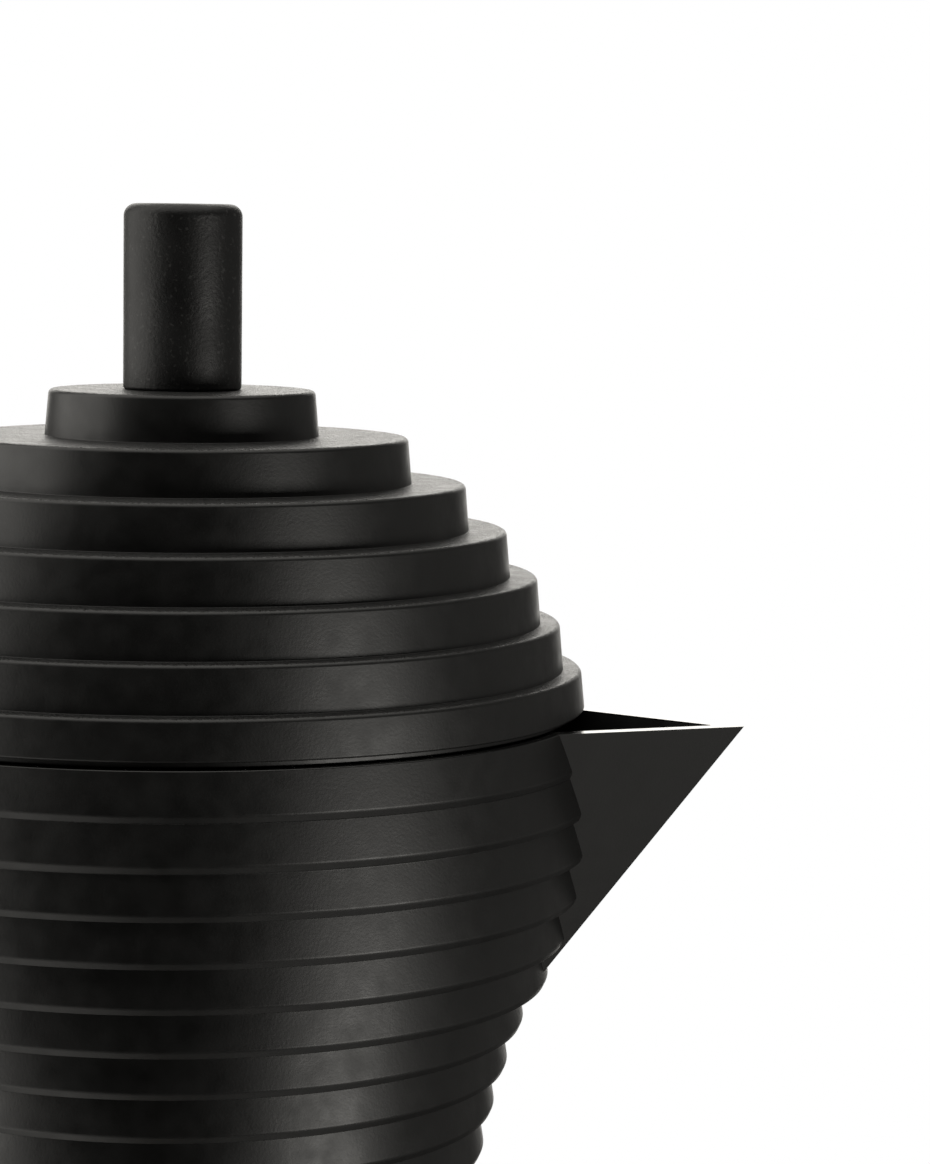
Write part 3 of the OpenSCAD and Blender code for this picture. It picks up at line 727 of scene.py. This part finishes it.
def make_handle():
    """An arm that bends down into a grip, which narrows a little to its foot."""
    bend, taper = 13, 1.5
    wide = high("handle").y * 2
    grip_x = low("handle").x + GRIP_T / 2
    front_x, low_z = high("handle").x, low("handle").z
    arm_z = high("handle").z - ARM_H / 2
    grip_top, grip_foot = arm_z - bend, low_z + HANDLE_ROUND
    quarter = [pi / 2 * k / 6 for k in range(7)]
    rings = [handle_ring(front_x - HANDLE_ROUND * (1 - cos(a)), arm_z, 0, ARM_H, wide,
                         HANDLE_ROUND * (1 - sin(a))) for a in quarter]
    for k in range(25):
        t = k / 24
        a = pi / 2 * t
        rings.append(handle_ring(grip_x + bend * (1 - sin(a)), arm_z - bend * (1 - cos(a)), a,
                                 ARM_H + (GRIP_T - ARM_H) * t, wide, 0))
    steps = 12
    for k in range(1, steps):
        t = k / steps
        rings.append(handle_ring(grip_x, grip_top + (grip_foot - grip_top) * t, pi / 2,
                                 GRIP_T - taper * t, wide - taper * t, 0))
    rings += [handle_ring(grip_x, low_z + HANDLE_ROUND * (1 - sin(a)), pi / 2, GRIP_T - taper,
                          wide - taper, HANDLE_ROUND * (1 - cos(a))) for a in quarter]
    piece = swept("handle_moulding", rings)
    half_w, half_h = TANG_W / 2 + TANG_GAP, TANG_H / 2 + TANG_GAP
    seat_z = low("handle_screw").z + 2
    cut(piece, block("socket", (tang_end - TANG_GAP, -half_w, tang_z - half_h),
                     (PAST, half_w, tang_z + half_h)))
    cut(piece, rod("head_recess", 3.6, *screw_line(seat_z - 15, seat_z)))
    cut(piece, rod("shank_hole", SCREW_HOLE_R, *screw_line(seat_z - PAST, tang_z)))
    cut(piece, rod("insert_hole", INSERT_R, *screw_line(tang_z, high("handle_insert").z)))
    return dress(piece, "handle")


def make_spring():
    """The safety valve's coil spring, made at one length; the real spring shortens as the plunger pushes it
    against the cap.
    """
    wire_r, steps, sides = 0.24, 28, 12
    near, far = high("valve_spring"), low("valve_spring")
    coil_r = (near.x - far.x) / 2 - wire_r
    x, z = (near.x + far.x) / 2, (near.z + far.z) / 2
    start, length = near.y - wire_r, near.y - far.y - 2 * wire_r
    section = [(coil_r + wire_r * cos(2 * pi * k / sides), wire_r * sin(2 * pi * k / sides))
               for k in range(sides)]
    rings = []
    for i in range(SPRING_TURNS * steps + 1):
        a, y = 2 * pi * i / steps, start - length * i / (SPRING_TURNS * steps)
        rings.append([(x + r * cos(a), y + h, z + r * sin(a)) for r, h in section])
    piece = dress(swept("valve_coil", rings), "valve_spring")
    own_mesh(piece)
    return piece


for make in (make_boiler, make_chamber, make_lid, make_knob, make_handle, make_spring):
    make()

replaced = {"boiler", "upper_chamber", "lid", "knob", "handle", "valve_spring"}
for name, node in frame["nodes"].items():
    if name not in replaced:
        node.data.materials.clear()
        node.data.materials.append(materials[slot_of[name]])


# ---------------------------------------------------------------- stage, light and camera

def make_floor():
    """A pale disc, in metres, small enough to stay out of the camera's view."""
    r, depth = 0.33, 0.01
    piece = lathe("floor", [(0, 0), (r, 0), (r, -depth), (0, -depth)], 128)
    mat, tree, shader, place = material("floor_paper", specular=0.3)
    cloud = noise(tree, place, 0.4, 2.0)
    fibre = noise(tree, place, 1.2 * MM, 2.0)
    colour = blend_colour(tree, spread(tree, cloud, 0, 1),
                          (0.84, 0.84, 0.835), (0.87, 0.87, 0.865))
    rough = spread(tree, cloud, 0.7, 0.8)
    finish_nodes(tree, shader, colour, rough, bump(tree, fibre, 0.05 * MM, 0.2))
    piece.data.materials.append(mat)
    piece.visible_glossy = False


CAMERA_AZIMUTH = radians(-77.2)
CAMERA_REACH = 383.96 * MM
CAMERA_HEIGHT = 53.94 * MM
YAW, PITCH, ROLL = radians(4.76), radians(5.86), radians(0.763)
LENS = 105.86


def make_camera():
    """Stands a little above the rim; its yaw is measured from the line to the pot's axis."""
    data = bpy.data.cameras.new("camera")
    data.lens = LENS
    data.sensor_width = 36
    data.clip_start = 0.01
    data.dof.use_dof = False
    camera = bpy.data.objects.new("camera", data)
    bpy.context.scene.collection.objects.link(camera)
    where = Vector((CAMERA_REACH * cos(CAMERA_AZIMUTH), CAMERA_REACH * sin(CAMERA_AZIMUTH),
                    rim_z * MM + CAMERA_HEIGHT))
    heading = CAMERA_AZIMUTH + pi - YAW
    ahead = Vector((cos(heading) * cos(PITCH), sin(heading) * cos(PITCH), -sin(PITCH)))
    level = ahead.cross(Vector((0, 0, 1))).normalized()
    rise = level.cross(ahead)
    right = level * cos(ROLL) + rise * sin(ROLL)
    up = right.cross(ahead)
    turn = Matrix((right, up, -ahead)).transposed().to_4x4()
    camera.matrix_world = Matrix.Translation(where) @ turn
    bpy.context.scene.camera = camera


STUDIO_COLOUR = (1, 0.975, 0.92)
ROOM = 0.008  # light of the room where no panel is
CEILING_Z, CEILING_SOFT, CEILING = 0.75, 0.15, 1.2
PANELS = [
    # azimuth from the camera's side, half width, lowest and highest z, softness, level
    (-98, 33, -0.6, 0.75, 0.16, 1.45),
    (180, 20, -0.3, 0.7, 0.14, 2.7),
    (112, 34, -0.5, 0.5, 0.3, 0.15),
    (56, 34, -1.2, -0.5, 0.2, 0.42),
    (-66, 34, -1.2, -0.4, 0.2, 0.8),
]


def step_down(tree, value, edge, soft):
    """1 below the edge, 0 above it, with a soft step between."""
    return spread(tree, value, 1, 0, edge - soft, edge + soft, "SMOOTHSTEP")


def panel(tree, direction, azimuth, half_width, low_z, high_z, soft, level):
    """A soft panel of light round the set: an azimuth, a half width and a range of height."""
    def vector(operation, a, *b):
        inputs = dict(enumerate((a, *b)))
        return node_in(tree, "ShaderNodeVectorMath", inputs, operation=operation).outputs

    flat = vector("MULTIPLY", direction, (1, 1, 0))[0]
    beam = (cos(azimuth), sin(azimuth), 0)
    along = vector("DOT_PRODUCT", vector("NORMALIZE", flat)[0], beam)["Value"]
    height = upright(tree, direction)
    shape = step_down(tree, number(tree, "ARCCOSINE", along), half_width, soft)
    shape = number(tree, "MULTIPLY", shape, step_down(tree, height, high_z, soft))
    below = number(tree, "MULTIPLY", height, -1.0)
    shape = number(tree, "MULTIPLY", shape, step_down(tree, below, -low_z, soft))
    return number(tree, "MULTIPLY", shape, level)


def make_light():
    """A dim room with soft panels round the pot and above it; the camera sees plain white."""
    world = bpy.data.worlds.new("studio")
    bpy.context.scene.world = world
    world.use_nodes = True
    tree = world.node_tree
    tree.nodes.clear()
    direction = tree.nodes.new("ShaderNodeTexCoord").outputs["Generated"]
    light = ROOM
    for turn, half, z0, z1, soft, level in PANELS:
        azimuth = CAMERA_AZIMUTH + radians(turn)
        one = panel(tree, direction, azimuth, radians(half), z0, z1, soft, level)
        light = number(tree, "ADD", one, light)
    under = step_down(tree, upright(tree, direction), CEILING_Z, CEILING_SOFT)
    above = number(tree, "SUBTRACT", 1.0, under)
    light = number(tree, "ADD", number(tree, "MULTIPLY", above, CEILING), light)
    studio = node_in(tree, "ShaderNodeBackground",
                     {"Color": (*STUDIO_COLOUR, 1), "Strength": light})
    white = node_in(tree, "ShaderNodeBackground", {"Color": (1, 1, 1, 1), "Strength": 1.0})
    seen = tree.nodes.new("ShaderNodeLightPath").outputs["Is Camera Ray"]
    mix = node_in(tree, "ShaderNodeMixShader",
                  {0: seen, 1: studio.outputs[0], 2: white.outputs[0]})
    node_in(tree, "ShaderNodeOutputWorld", {"Surface": mix.outputs[0]})
    bpy.context.scene.view_settings.view_transform = "Standard"


def softbox(name, turn, reach, low_z, high_z, width, radiance):
    """An upright softbox that faces the pot. Its azimuth is measured from the camera's side."""
    data = bpy.data.lights.new(name, "AREA")
    data.shape = "RECTANGLE"
    data.size, data.size_y = width, high_z - low_z
    data.energy = radiance * pi * data.size * data.size_y
    data.color = STUDIO_COLOUR
    light = bpy.data.objects.new(name, data)
    bpy.context.scene.collection.objects.link(light)
    azimuth = CAMERA_AZIMUTH + radians(turn)
    light.location = (reach * cos(azimuth), reach * sin(azimuth), (low_z + high_z) / 2)
    light.rotation_euler = (pi / 2, 0, azimuth + pi / 2)
    light.visible_camera = False


make_floor()
make_camera()
make_light()
softbox("softbox_right", turn=50, reach=0.55, low_z=0.01, high_z=0.128, width=0.26, radiance=7.9)
softbox("softbox_left", turn=-68, reach=0.6, low_z=0.01, high_z=0.14, width=0.16, radiance=2.6)
